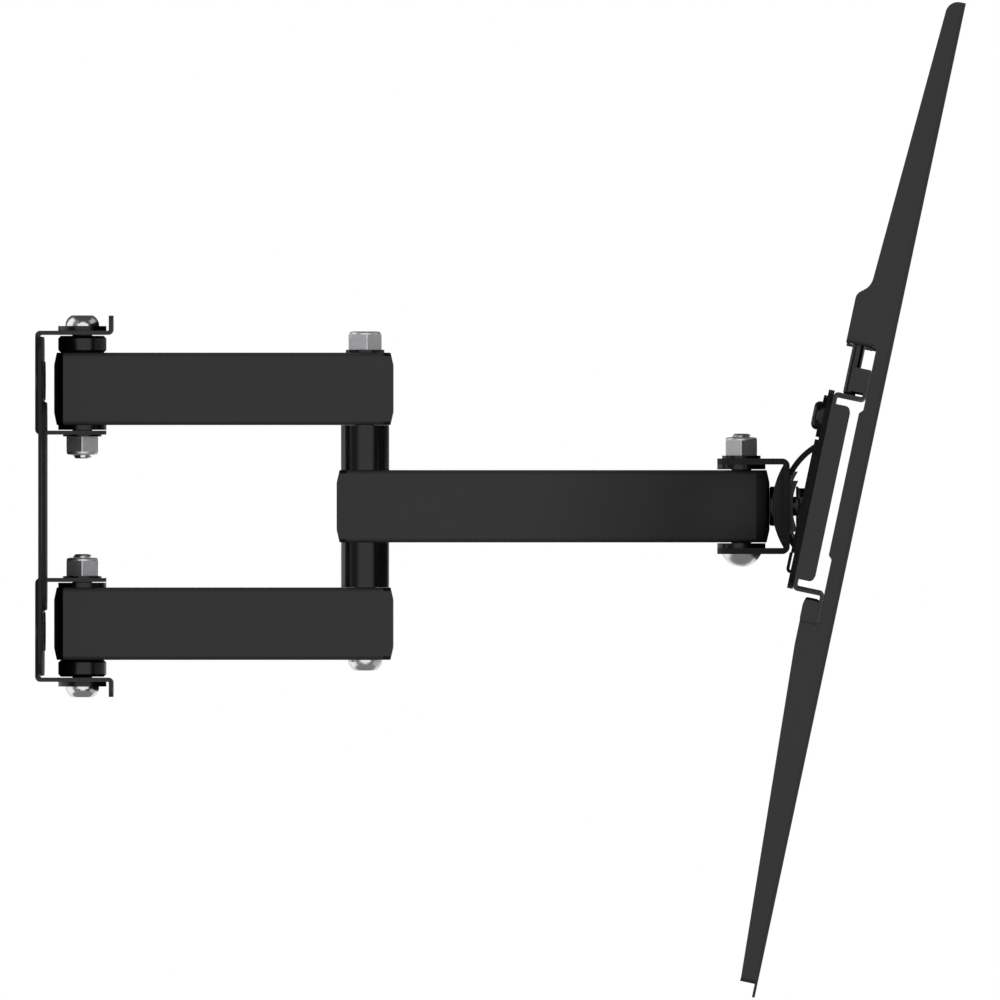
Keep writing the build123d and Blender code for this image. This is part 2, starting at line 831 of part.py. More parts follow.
def on_head(along, height, depth):
    """The plane that faces the wall at a place on the head."""
    place = head_origin + Vector(0, along, 0) + upward * height - outward * depth
    return Plane(place, x_dir=(0, -1, 0), z_dir=-outward)


def across_rail(height, along=0.0, depth=0.0):
    """The plane that faces up the head at a height on it: x along the bar, y depth."""
    place = head_origin + Vector(0, along, 0) + upward * height - outward * depth
    return Plane(place, x_dir=(0, 1, 0), z_dir=upward)


def head_screw_places(depth):
    """Seats of the two screws between the head plate and the crossbar."""
    return [
        on_head(side * head_screw_pitch / 2, head_screw_rise, depth) for side in (-1, 1)
    ]


def pan_screw(seat, length):
    """A cross recessed pan head screw; the seat is under the head."""
    with BuildPart() as screw:
        with BuildSketch(seat):
            Circle(pan_d / 2)
        extrude(amount=pan_h)
        crown = screw.faces().sort_by(lambda face: (face.center() - seat.origin).dot(seat.z_dir))
        fillet(crown[-1].edges(), pan_round)
        with BuildSketch(seat.offset(pan_h)):
            Rectangle(recess_l, recess_w)
            Rectangle(recess_w, recess_l)
        extrude(amount=-recess_depth, mode=Mode.SUBTRACT)
        with BuildSketch(seat):
            Circle(head_screw_d / 2)
        extrude(amount=-length)
    return screw.part


with BuildPart() as curved_plate:
    with BuildSketch(Plane.XZ):
        with Locations((tilt_axis_x, 0)):
            Circle(curve_r)
            Circle(curve_inner_r, mode=Mode.SUBTRACT)
    extrude(amount=curve_w / 2, both=True)
    split(bisect_by=head_face.offset(-plate_back), keep=Keep.BOTTOM)
    # its slot runs up from the bolt by the tilt's travel
    with BuildSketch(Plane.XZ):
        with BuildLine():
            Polyline(
                (tilt_axis_x, 0),
                (tilt_axis_x - 2 * curve_r, 0),
                (tilt_axis_x - 2 * curve_r, 2 * curve_r * tan(radians(tilt_travel))),
                close=True,
            )
        make_face()
    extrude(amount=curve_slot_w / 2, both=True, mode=Mode.SUBTRACT)
    for turn in (0, tilt_travel):
        with BuildSketch(wall_ray(turn)):
            Circle(curve_slot_w / 2)
        extrude(amount=2 * curve_r, mode=Mode.SUBTRACT)

with BuildPart() as head_plate:
    with BuildSketch(head_face.offset(-plate_face)):
        with Locations((0, head_rise)):
            RectangleRounded(head_w, head_h, head_corner)
        with Locations((0, -axis_drop)):
            RectangleRounded(window_w, window_h, window_corner, mode=Mode.SUBTRACT)
        with Locations((0, head_screw_rise)):
            with GridLocations(head_screw_pitch, 0, 2, 1):
                Circle(head_screw_bore_d / 2, mode=Mode.SUBTRACT)
        with Locations((0, -hook_drop)):
            Rectangle(hook_w + 2 * hook_slot_gap, bar_t + 2 * hook_slot_gap, mode=Mode.SUBTRACT)
    extrude(amount=-head_t)
    with BuildSketch(head_face.offset(-plate_back)):
        with Locations((0, -axis_drop)):
            with GridLocations(window_w + collar_t, 0, 2, 1):
                Rectangle(collar_t, collar_h)
    extrude(amount=-collar_t)

with BuildPart() as head_screws:
    for seat in head_screw_places(plate_back + head_washer_t):
        add(pan_screw(seat, head_washer_t + head_t + head_gap + bar_t + head_nut_h + bolt_end))

with BuildPart() as head_screw_washers:
    for seat in head_screw_places(plate_back):
        add(ring(seat, head_washer_d, head_screw_bore_d, head_washer_t))

with BuildPart() as head_screw_nuts:
    for seat in head_screw_places(web_face - head_nut_h):
        bore = head_screw_d + 2 * seat_gap
        add(hexagon_nut(seat, head_nut_af, head_nut_h, nut_chamfer, bore))


def crossbar_body():
    """The hat section with its end flanges, end tabs, openings and the hook below."""
    half = bar_t / 2
    lip = lip_depth + half
    web = web_depth - half
    flange = bar_h / 2 - half
    hat = [
        (lip, bar_lip_top),
        (lip, flange),
        (web, flange),
        (web, -flange),
        (lip, -flange),
        (lip, -bar_lip_top),
    ]
    hook = [(web, -hook_drop), (hook_depth - half, -hook_drop), (hook_depth - half, -hook_tip_drop)]
    end_flange = [
        (web, -end_flange_h / 2, 0),
        (end_flange_depth, -end_flange_h / 2, end_flange_corner),
        (end_flange_depth, end_flange_h / 2, end_flange_corner),
        (web, end_flange_h / 2, 0),
    ]
    upper_foot = bar_h / 2 + upper_tab_gap
    upper_tab = [
        (lip, upper_foot, 0),
        (end_tab_depth, upper_foot, end_tab_corner),
        (end_tab_depth, bar_lip_top, end_tab_corner),
        (lip, bar_lip_top, 0),
    ]
    lower_foot = -bar_h / 2 - lower_tab_gap
    lower_tab = [
        (lip, lower_foot, 0),
        (end_tab_depth, lower_foot, lower_tab_corner),
        (end_tab_depth, -bar_lip_top, end_tab_corner),
        (lip, -bar_lip_top, 0),
    ]
    with BuildPart() as bar:
        add(bent_sheet(head_side, hat, bar_t, bar_bend, bar_l))
        for side in (-1, 1):
            with BuildSketch(head_side.offset(side * bar_l / 2)):
                for corners in (end_flange, upper_tab, lower_tab):
                    with BuildLine():
                        rounded_outline(corners)
                    make_face()
            extrude(amount=-side * bar_t)
        with BuildSketch(head_face.offset(-web_face)):
            with Locations((0, -axis_drop)):
                RectangleRounded(bar_window_w, bar_window_h, window_corner)
            with Locations((0, head_screw_rise)):
                with GridLocations(head_screw_pitch, 0, 2, 1):
                    Circle(head_screw_bore_d / 2)
            for index in range(bar_slot_count):
                along = bar_slot_reach + index * bar_slot_pitch
                with Locations((-along, 0), (along, 0)):
                    SlotOverall(bar_slot_l, bar_slot_w)
        extrude(amount=-bar_t, mode=Mode.SUBTRACT)
        add(bent_sheet(head_side, hook, bar_t, hook_bend, hook_w))
    return bar.part


with BuildPart() as crossbar:
    add(crossbar_body())

# ---------------------------------------------------------------- rails


def web_outline():
    """Side outline of a rail's web: depth, height and corner radius of each corner."""
    top = rail_l / 2
    bottom = web_bottom_gap - top + fold_outer_r
    block_foot = block_bottom + fold_outer_r
    edge = lip_depth - rail_fit
    ramp = belly_depth - edge
    return [
        (0, bottom, 0),
        (web_bottom_depth, bottom, 0),
        (lower_hook_depth, lower_hook_shoulder, lower_hook_round),
        (lower_hook_depth, lower_hook_tip, hook_tip_round),
        (behind_lip, lower_hook_tip, hook_tip_round),
        (behind_lip, -notch_bottom, 0),
        (edge, -notch_bottom, 0),
        (edge, belly_bottom, belly_round),
        (belly_depth, belly_bottom + ramp, belly_round),
        (belly_depth, belly_top - ramp, belly_round),
        (edge, belly_top, belly_round),
        (edge, notch_top, 0),
        (behind_lip, notch_top, 0),
        (behind_lip, block_foot, 0),
        (block_depth, block_foot, 0),
        (block_depth, block_top, block_round),
        (shoulder_depth, block_top + shoulder_rise, shoulder_round),
        (web_top_depth, top, web_top_corner),
        (0, top, 0),
    ]


def fold(side, height, near, far, width):
    """A strip folded inwards off the foot of a rail's web, between two depths."""
    middle = rail_outer - rail_t / 2
    section = [
        (side * middle, height + 2 * fold_outer_r),
        (side * middle, height + rail_t / 2),
        (side * (rail_outer - width), height + rail_t / 2),
    ]
    return bent_sheet(head_face.offset(-(near + far) / 2), section, rail_t, rail_bend, far - near)


def rail_body(side):
    """An angle of sheet: the flange lies on the screen and the web, outboard, is shaped."""
    half = rail_t / 2
    foot = web_bottom_gap - rail_l / 2
    section = [
        (side * (rail_outer - rail_w), half),
        (side * (rail_outer - half), half),
        (side * (rail_outer - half), block_depth),
    ]
    with BuildPart() as rail:
        with BuildSketch(across_rail(-rail_l / 2)):
            with BuildLine():
                FilletPolyline(*section, radius=rail_bend + half)
            trace(line_width=rail_t)
        extrude(amount=rail_l)
        with BuildSketch(head_side):
            with BuildLine():
                rounded_outline(web_outline())
            make_face()
            with Locations((half, 0)):
                Rectangle(rail_t, rail_l)
        extrude(amount=rail_outer + rail_t, both=True, mode=Mode.INTERSECT)
        flange_corners = rail.edges().filter_by(Axis((0, 0, 0), outward)).group_by(
            lambda edge: abs(edge.center().Y)
        )[0]
        fillet(flange_corners, rail_corner)
        add(fold(side, block_bottom, behind_lip, block_depth, shelf_w))
        add(fold(side, foot, rail_t - foot_overlap, web_bottom_depth, foot_w))
        with BuildSketch(across_rail(block_bottom, screw_along(side), height_screw_depth)):
            Circle(height_screw_d / 2 + running_gap)
        extrude(amount=rail_t, mode=Mode.SUBTRACT)
        with BuildSketch(head_face):
            with Locations((side * vesa / 2, 0)):
                with GridLocations(0, vesa, 1, 2):
                    Circle(rail_hole_d / 2)
                with GridLocations(0, vesa / 2, 1, 2):
                    Circle(rail_hole_d / 2)
                with GridLocations(0, 3 * vesa / 4, 1, 2):
                    SlotOverall(rail_slot_l, rail_hole_d, rotation=90)
                with GridLocations(0, vesa / 4, 1, 2):
                    SlotOverall(rail_slot_l, rail_hole_d, rotation=90)
        extrude(amount=-rail_t, mode=Mode.SUBTRACT)
    return rail.part


def screw_along(side):
    """Place of a height screw along the crossbar."""
    return side * (rail_web - height_screw_inset)


def height_screw_body(side):
    """The screw that carries a rail: its rounded tip stands on the crossbar's top flange."""
    foot = across_rail(bar_h / 2 + seat_gap, screw_along(side), height_screw_depth)
    with BuildPart() as screw:
        with BuildSketch(foot):
            Circle(height_screw_d / 2)
        extrude(amount=height_screw_l)
        tip = screw.faces().sort_by(lambda face: (face.center() - foot.origin).dot(upward))[0]
        fillet(tip.edges(), height_tip_round)
        with BuildSketch(foot.offset(height_screw_l)):
            Circle(height_head_d / 2)
        extrude(amount=height_head_h)
        with BuildSketch(foot.offset(height_screw_l + height_head_h)):
            RegularPolygon(height_socket_af / 2, 6, major_radius=False)
        extrude(amount=-height_head_h / 2, mode=Mode.SUBTRACT)
    return screw.part


def rail_nut_body(side):
    """The nut on a rail's shelf that the height screw turns in."""
    seat = across_rail(block_bottom + rail_t, screw_along(side), height_screw_depth)
    bore = height_screw_d + 2 * running_gap
    return hexagon_nut(seat, height_nut_af, height_nut_h, nut_chamfer / 2, bore)


with BuildPart() as left_rail:
    add(rail_body(-1))

with BuildPart() as right_rail:
    add(rail_body(1))

with BuildPart() as left_rail_nut:
    add(rail_nut_body(-1))

with BuildPart() as right_rail_nut:
    add(rail_nut_body(1))

with BuildPart() as left_height_screw:
    add(height_screw_body(-1))

with BuildPart() as right_height_screw:
    add(height_screw_body(1))

# ---------------------------------------------------------------- export

pieces = {
    "wall_plate": wall_plate,
    "wall_bracket_upper": wall_bracket_upper,
    "wall_bracket_lower": wall_bracket_lower,
    "wall_pivot_bolts": wall_pivot_bolts,
    "wall_pivot_nuts": wall_pivot_nuts,
    "wall_head_washers": wall_head_washers,
    "wall_nut_washers": wall_nut_washers,
    "wall_bushes": wall_bushes,
    "wall_thrust_washers": wall_thrust_washers,
    "rear_arm_upper": rear_arm_upper,
    "rear_arm_lower": rear_arm_lower,
    "rear_caps_upper": rear_caps_upper,
    "rear_caps_lower": rear_caps_lower,
    "elbow_bolt": elbow_bolt,
    "elbow_washer": elbow_washer,
    "elbow_nut": elbow_nut,
    "elbow_spacers": elbow_spacers,
    "elbow_bushes": elbow_bushes,
    "front_arm": front_arm,
    "front_caps": front_caps,
    "head_thrust_washers": head_thrust_washers,
    "clevis": clevis,
    "head_pivot_bolt": head_pivot_bolt,
    "head_pivot_washer": head_pivot_washer,
    "head_pivot_nut": head_pivot_nut,
    "tilt_liner": tilt_liner,
    "tilt_inner_washer": tilt_inner_washer,
    "tilt_outer_washer": tilt_outer_washer,
    "tilt_bolt": tilt_bolt,
    "tilt_nut": tilt_nut,
    "curved_plate": curved_plate,
    "head_plate": head_plate,
    "head_screws": head_screws,
    "head_screw_washers": head_screw_washers,
    "head_screw_nuts": head_screw_nuts,
    "crossbar": crossbar,
    "left_rail": left_rail,
    "right_rail": right_rail,
    "left_rail_nut": left_rail_nut,
    "right_rail_nut": right_rail_nut,
    "left_height_screw": left_height_screw,
    "right_height_screw": right_height_screw,
}

for name, piece in pieces.items():
    piece.part.label = name
    export_step(piece.part, f"parts/{name}.step")
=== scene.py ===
# Full motion TV wall mount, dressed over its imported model.

import math

import bmesh
import bpy
from mathutils import Matrix, Vector


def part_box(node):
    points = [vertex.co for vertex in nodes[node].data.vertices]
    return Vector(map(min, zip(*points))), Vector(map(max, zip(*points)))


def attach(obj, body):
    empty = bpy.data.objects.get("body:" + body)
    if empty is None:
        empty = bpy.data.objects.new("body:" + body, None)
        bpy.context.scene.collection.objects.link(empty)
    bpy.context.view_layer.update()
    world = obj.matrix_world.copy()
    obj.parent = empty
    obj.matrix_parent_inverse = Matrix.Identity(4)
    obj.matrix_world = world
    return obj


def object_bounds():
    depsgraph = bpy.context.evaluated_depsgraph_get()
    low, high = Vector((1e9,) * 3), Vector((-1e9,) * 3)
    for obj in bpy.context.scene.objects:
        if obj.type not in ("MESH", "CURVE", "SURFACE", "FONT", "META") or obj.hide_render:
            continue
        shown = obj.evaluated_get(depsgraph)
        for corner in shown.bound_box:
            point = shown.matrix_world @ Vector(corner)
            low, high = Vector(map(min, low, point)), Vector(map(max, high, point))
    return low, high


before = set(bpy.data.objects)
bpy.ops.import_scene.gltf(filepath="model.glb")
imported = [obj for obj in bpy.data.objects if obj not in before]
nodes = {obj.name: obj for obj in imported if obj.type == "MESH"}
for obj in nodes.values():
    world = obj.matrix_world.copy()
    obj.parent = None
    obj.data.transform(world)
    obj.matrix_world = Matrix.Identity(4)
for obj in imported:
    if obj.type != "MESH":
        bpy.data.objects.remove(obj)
solid_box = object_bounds()

# ------------------------------------------------------------ powder coated steel
# The wall plate, brackets, arms, clevis, head plate, crossbar and rails are pressed and
# folded from mild steel sheet or sawn from rectangular tube. All are powder coated black:
# a satin skin with fine orange peel, a little duller where the powder lies thicker.


class Wire:
    """A shader socket that takes Python's operators."""

    def __init__(self, finish, socket):
        self.finish = finish
        self.socket = socket

    def maths(self, operation, first, second):
        settings = {"operation": operation}
        return self.finish.node("ShaderNodeMath", settings, {0: first, 1: second})

    def __add__(self, other):
        return self.maths("ADD", self, other)

    def __radd__(self, other):
        return self.maths("ADD", other, self)

    def __sub__(self, other):
        return self.maths("SUBTRACT", self, other)

    def __mul__(self, other):
        return self.maths("MULTIPLY", self, other)

    def __rmul__(self, other):
        return self.maths("MULTIPLY", other, self)

    def __truediv__(self, other):
        return self.maths("DIVIDE", self, other)


class Finish:
    """The node tree of a material or of the world."""

    def __init__(self, owner):
        owner.use_nodes = True
        self.owner = owner
        self.tree = owner.node_tree
        self.tree.nodes.clear()

    def node(self, kind, settings, sockets, output=0):
        """A new node: its settings first, then its sockets' values or links."""
        made = self.tree.nodes.new(kind)
        for name, value in settings.items():
            setattr(made, name, value)
        for name, value in sockets.items():
            if isinstance(value, Wire):
                self.tree.links.new(value.socket, made.inputs[name])
            else:
                made.inputs[name].default_value = value
        return Wire(self, made.outputs[output]) if made.outputs else made

    def noise(self, scale, detail):
        where = self.node("ShaderNodeTexCoord", {}, {}, "Object")
        sockets = {"Vector": where, "Scale": scale, "Detail": detail}
        return self.node("ShaderNodeTexNoise", {}, sockets)

    def between(self, share, first, second):
        settings = {"data_type": "RGBA"}
        return self.node("ShaderNodeMix", settings, {0: share, 6: first, 7: second}, 2)

    def relief(self, height, depth, strength):
        sockets = {"Height": height, "Distance": depth, "Strength": strength}
        return self.node("ShaderNodeBump", {}, sockets)

    def surface(self, sockets):
        shader = self.node("ShaderNodeBsdfPrincipled", {}, sockets)
        self.node("ShaderNodeOutputMaterial", {}, {"Surface": shader})
        return self.owner


def shade(red, green, blue):
    return (red, green, blue, 1.0)


def dress(material, names):
    for name in names:
        slots = nodes[name].data.materials
        slots.clear()
        slots.append(material)


def powder_coat(name, dark, light, roughness, gloss):
    """Black powder coat, as rough as given where it is smoothest."""
    coat = Finish(bpy.data.materials.new(name))
    cloud = coat.noise(14.0, 3.0)
    peel = coat.noise(1500.0, 2.0)
    grit = coat.noise(5200.0, 1.0)
    return coat.surface(
        {
            "Base Color": coat.between(cloud, dark, light),
            "Roughness": roughness + 0.1 * cloud + 0.08 * grit,
            "Specular IOR Level": gloss,
            "Normal": coat.relief(peel + 0.3 * grit, 0.00002, 0.3),
        }
    )


sheet_dark = shade(0.0270, 0.0270, 0.0273)
sheet_light = shade(0.0300, 0.0300, 0.0303)
sheet_gloss = 0.28
sheet_coat = powder_coat("black_powder_coat", sheet_dark, sheet_light, 0.46, sheet_gloss)
dress(sheet_coat, ["wall_bracket_upper", "wall_bracket_lower"])
dress(sheet_coat, ["clevis", "curved_plate", "head_plate", "crossbar"])
dress(sheet_coat, ["left_rail", "right_rail"])

# The wall plate is punched from thicker sheet. Its coat is the black powder coat with a much darker
# colour and a little more roughness: the darker colour is painted shade, standing in for the shadow
# the plate lies in behind the arms.
plate_shade_dark = shade(0.0080, 0.0080, 0.0082)
plate_shade_light = shade(0.0100, 0.0100, 0.0102)
plate_shaded_coat = powder_coat("black_plate_coat_painted_shade", plate_shade_dark, plate_shade_light, 0.5, 0.33)
dress(plate_shaded_coat, ["wall_plate"])

# The arms' tube is coated in the same powder; its flats are a touch smoother.
tube_coat = powder_coat("black_tube_coat", sheet_dark, sheet_light, 0.44, sheet_gloss)
dress(tube_coat, ["rear_arm_upper", "rear_arm_lower", "front_arm"])

# ------------------------------------------------------------ end caps
# Each tube end is closed by a cap moulded in black polypropylene, pushed in by its plug.
# The mould is spark eroded, so the cap has a fine dry grain and less shine than the steel.


def moulded(name, dark, light, roughness, grain):
    plastic = Finish(bpy.data.materials.new(name))
    tone = plastic.noise(60.0, 2.0)
    erosion = plastic.noise(grain, 3.0)
    return plastic.surface(
        {
            "Base Color": plastic.between(tone, dark, light),
            "Roughness": roughness + 0.06 * erosion,
            "Specular IOR Level": 0.45,
            "Normal": plastic.relief(erosion, 0.00002, 0.3),
        }
    )


cap_dark = shade(0.0010, 0.0010, 0.0011)
cap_light = shade(0.0018, 0.0018, 0.0019)
cap_plastic = moulded("cap_polypropylene", cap_dark, cap_light, 0.26, 2600.0)
dress(cap_plastic, ["rear_caps_upper", "rear_caps_lower"])

# The front arm's elbow cap is the same moulding. The cap of its nose goes in before the
# arm is coated, so past the arm's middle the powder covers it.
nose = Finish(bpy.data.materials.new("front_cap_coat"))
tone = nose.noise(60.0, 2.0)
grain = nose.noise(2600.0, 3.0)
along = nose.node("ShaderNodeTexCoord", {}, {}, "Object")
along = nose.node("ShaderNodeSeparateXYZ", {}, {"Vector": along}, "X")
arm_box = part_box("front_arm")
coated = along.maths("GREATER_THAN", along, (arm_box[0].x + arm_box[1].x) / 2)
bare = nose.between(tone, cap_dark, cap_light)
powder = nose.between(tone, sheet_dark, sheet_light)
nose.surface(
    {
        "Base Color": nose.between(coated, bare, powder),
        "Roughness": 0.26 + 0.06 * grain + 0.2 * coated,
        "Specular IOR Level": 0.45,
        "Normal": nose.relief(grain, 0.00002, 0.3),
    }
)
dress(nose.owner, ["front_caps"])

# ------------------------------------------------------------ bushes and thrust washers
# The pivots turn on bushes and washers of black nylon, moulded smooth and slightly waxy.
# The tilt liner is a strip of the same nylon between the curved plate and its dish.

nylon_dark = shade(0.0008, 0.0008, 0.0009)
nylon_light = shade(0.0014, 0.0014, 0.0015)
nylon = moulded("black_nylon", nylon_dark, nylon_light, 0.2, 900.0)
dress(nylon, ["wall_bushes", "wall_thrust_washers", "elbow_spacers", "elbow_bushes"])
dress(nylon, ["head_thrust_washers", "tilt_liner"])

# ------------------------------------------------------------ pivot sleeves
# A thin sleeve of the same nylon lines each pivot's bores, pushed over the shank before the
# nut goes on. It shows as a dark band wherever the swivelling parts leave a gap.

bracket_t = 0.00165
washer_t = 0.002
sleeve_inner = 0.0040
sleeve_outer = 0.00415
sleeve_overlap = 0.00015


def turned(name, outline, centre):
    """A piece turned from an outline of radius and height about an upright axis."""
    lathe = bmesh.new()
    ring = [lathe.verts.new((radius, 0, height)) for radius, height in outline]
    for start, end in zip(ring, ring[1:] + ring[:1]):
        lathe.edges.new((start, end))
    bmesh.ops.spin(
        lathe,
        geom=lathe.verts[:] + lathe.edges[:],
        axis=(0, 0, 1),
        angle=math.tau,
        steps=64,
        use_merge=True,
    )
    return laid(name, lathe, centre)


def laid(name, shape, centre):
    """A finished piece, with its place in its mesh."""
    bmesh.ops.recalc_face_normals(shape, faces=shape.faces)
    bmesh.ops.translate(shape, verts=shape.verts, vec=centre)
    mesh = bpy.data.meshes.new(name)
    shape.to_mesh(mesh)
    shape.free()
    piece = bpy.data.objects.new(name, mesh)
    bpy.context.scene.collection.objects.link(piece)
    return piece


def join(piece, material, body):
    piece.data.materials.append(material)
    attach(piece, body)


def axis_of(name):
    """Where a node's upright axis stands, at no height."""
    low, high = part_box(name)
    return Vector(((low.x + high.x) / 2, 0, 0))


wall_axis = axis_of("wall_pivot_bolts")
head_axis = axis_of("head_thrust_washers")
outer_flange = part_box("wall_head_washers")[1].z - washer_t
inner_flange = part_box("wall_nut_washers")[1].z
gaps = {
    "wall_outer_sleeve": (wall_axis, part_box("wall_bushes")[1].z, outer_flange - bracket_t, "wall"),
    "wall_inner_sleeve": (
        wall_axis,
        inner_flange + bracket_t,
        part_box("wall_thrust_washers")[1].z - washer_t,
        "wall",
    ),
    "head_sleeve": (
        head_axis,
        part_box("front_arm")[1].z,
        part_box("head_thrust_washers")[1].z - washer_t,
        "swivel",
    ),
}
for name, (axis, low, high, body) in gaps.items():
    for word, side in (("upper", 1), ("lower", -1)):
        foot = side * (low - sleeve_overlap)
        top = side * (high + sleeve_overlap)
        outline = [
            (sleeve_inner, foot),
            (sleeve_outer, foot),
            (sleeve_outer, top),
            (sleeve_inner, top),
        ]
        join(turned(name + "_" + word, outline, axis), nylon, body)

# ------------------------------------------------------------ bolts and nuts
# The M8 pivot bolts, with button and dome heads, and the lock nuts are cold formed from
# steel and barrel plated in bright zinc: a cool grey, faintly clouded metal.


def plated(name, dark, light, roughness, pitting):
    plate = Finish(bpy.data.materials.new(name))
    cloud = plate.noise(240.0, 3.0)
    tumble = plate.noise(3000.0, 2.0)
    return plate.surface(
        {
            "Base Color": plate.between(cloud, dark, light),
            "Metallic": 1.0,
            "Roughness": roughness + 0.12 * cloud,
            "Normal": plate.relief(tumble, pitting, 0.5),
        }
    )


zinc_dark = shade(0.80, 0.81, 0.83)
zinc_light = shade(0.88, 0.89, 0.91)
zinc = plated("bright_zinc", zinc_dark, zinc_light, 0.14, 0.00001)
dress(zinc, ["wall_pivot_bolts"])
dome_zinc = plated("satin_zinc", zinc_dark, zinc_light, 0.22, 0.00001)
dress(dome_zinc, ["elbow_bolt", "head_pivot_bolt"])

# The nuts are tumbled in the same bath, so their flats are duller and finely pitted.
nut_zinc = plated("tumbled_zinc", zinc_dark, zinc_light, 0.36, 0.00003)
dress(nut_zinc, ["wall_pivot_nuts", "elbow_nut", "head_pivot_nut"])
dress(nut_zinc, ["left_rail_nut", "right_rail_nut"])

# ------------------------------------------------------------ tilt bolt pad
# A disc of thin black nylon is stuck to the tilt bolt's head, so that the head can't scrape
# the nose of the front arm as the clevis swivels past it.

pad_r = 0.0078
pad_t = 0.00013
pad_round = 0.0004
bolt_low, bolt_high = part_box("tilt_bolt")
pad_shape = bmesh.new()
bmesh.ops.create_circle(pad_shape, cap_ends=True, segments=64, radius=pad_r)
rim = bmesh.ops.extrude_face_region(pad_shape, geom=pad_shape.faces[:])
rim = [vert for vert in rim["geom"] if isinstance(vert, bmesh.types.BMVert)]
bmesh.ops.translate(pad_shape, verts=rim, vec=(0, 0, pad_t))
bmesh.ops.scale(pad_shape, verts=rim, vec=(1 - pad_round / pad_r, 1 - pad_round / pad_r, 1))
bmesh.ops.rotate(pad_shape, verts=pad_shape.verts, matrix=Matrix.Rotation(-math.pi / 2, 3, "Y"))
pad_place = Vector((bolt_low.x, 0, (bolt_low.z + bolt_high.z) / 2))
join(laid("tilt_bolt_pad", pad_shape, pad_place), nylon, "swivel")

# ------------------------------------------------------------ screw threads
# Past the nuts, the wall bolts and the head's pivot bolt show the last turns of a rolled
# M8 thread, right handed, run out at a chamfered end and plated with the bolt.

pitch = 0.00125
thread_root = 0.0030
thread_crest = 0.0039
thread_shown = 0.0016
thread_chamfer = 0.00035


def thread(name, axis, end, way, body):
    """The turns of thread at a bolt's end. The end faces up or down, by way."""
    ridge = bmesh.new()
    flank = [(thread_root, 0.02), (thread_crest, 0.42), (thread_crest, 0.56), (thread_root, 0.96)]
    ring = [ridge.verts.new((radius, 0, share * pitch)) for radius, share in flank]
    for start, stop in zip(ring, ring[1:] + ring[:1]):
        ridge.edges.new((start, stop))
    turns = 2.4
    steps = 96
    bmesh.ops.spin(
        ridge,
        geom=ridge.verts[:] + ridge.edges[:],
        axis=(0, 0, 1),
        dvec=(0, 0, pitch * turns / steps),
        angle=turns * math.tau,
        steps=steps,
    )
    bmesh.ops.translate(ridge, verts=ridge.verts, vec=(0, 0, -pitch))
    bmesh.ops.bisect_plane(
        ridge,
        geom=ridge.verts[:] + ridge.edges[:] + ridge.faces[:],
        plane_co=(0, 0, thread_chamfer),
        plane_no=(0, 0, -1),
        clear_outer=True,
    )
    bmesh.ops.holes_fill(ridge, edges=[edge for edge in ridge.edges if edge.is_boundary])
    if way > 0:
        turn = Matrix.Rotation(math.pi, 3, "X")
        bmesh.ops.rotate(ridge, verts=ridge.verts, matrix=turn)
    join(laid(name, ridge, axis + Vector((0, 0, end))), zinc, body)


nut_h = 0.0075
wall_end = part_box("wall_pivot_nuts")[1].z - nut_h - thread_shown
thread("wall_thread_upper", wall_axis, wall_end, -1, "wall")
thread("wall_thread_lower", wall_axis, -wall_end, 1, "wall")
thread("head_thread", head_axis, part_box("head_pivot_bolt")[1].z, 1, "swivel")

# ------------------------------------------------------------ lock rings
# Each lock nut holds a ring of natural nylon, crimped under its collar. It grips the thread
# and stops the nut from working loose as the arms swing.

natural_dark = shade(0.50, 0.48, 0.42)
natural_light = shade(0.58, 0.56, 0.50)
natural_nylon = moulded("natural_nylon", natural_dark, natural_light, 0.34, 1200.0)
ring_inner = 0.00402
ring_outer = 0.0051
ring_proud = 0.00014
ring_round = 0.00007
elbow_axis = axis_of("elbow_nut")
lock_nuts = {
    "wall_lock_ring_upper": (wall_axis, wall_end + thread_shown, -1, "wall"),
    "wall_lock_ring_lower": (wall_axis, -wall_end - thread_shown, 1, "wall"),
    "elbow_lock_ring": (elbow_axis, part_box("elbow_nut")[1].z, 1, "rear_arms"),
    "head_lock_ring": (head_axis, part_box("head_pivot_nut")[1].z, 1, "swivel"),
}
for name, (axis, face, way, body) in lock_nuts.items():
    outline = [
        (ring_inner, face - way * ring_proud),
        (ring_outer, face - way * ring_proud),
        (ring_outer, face + way * (ring_proud - ring_round)),
        (ring_outer - ring_round, face + way * ring_proud),
        (ring_inner + ring_round, face + way * ring_proud),
        (ring_inner, face + way * (ring_proud - ring_round)),
    ]
    join(turned(name, outline, axis), natural_nylon, body)

# ------------------------------------------------------------ black washers and screws
# The flat and curved washers, the tilt bolt and its nut, the head screws and the rails'
# height screws are steel with a thin oiled black oxide, shinier than the powder coat.

black_oxide = moulded("black_oxide", nylon_dark, nylon_light, 0.18, 1800.0)
dress(black_oxide, ["wall_head_washers", "wall_nut_washers", "elbow_washer"])
dress(black_oxide, ["head_pivot_washer", "tilt_inner_washer", "head_screw_washers"])
dress(black_oxide, ["left_height_screw", "right_height_screw", "tilt_bolt", "tilt_nut"])
dress(black_oxide, ["tilt_outer_washer", "head_screws", "head_screw_nuts"])

# ------------------------------------------------------------ studio
# A pale floor well below the mount, which brightens to white away from it, a large soft
# box in front, weaker ones overhead and behind, and an even pale surround.

middle = (solid_box[0] + solid_box[1]) / 2
floor_drop = 0.1
floor_half = 6.0
glow_from = 0.6
glow_to = 2.2
glow_dark = shade(0.35, 0.35, 0.35)
paper_dark = shade(0.80, 0.80, 0.80)
paper_light = shade(0.83, 0.83, 0.83)

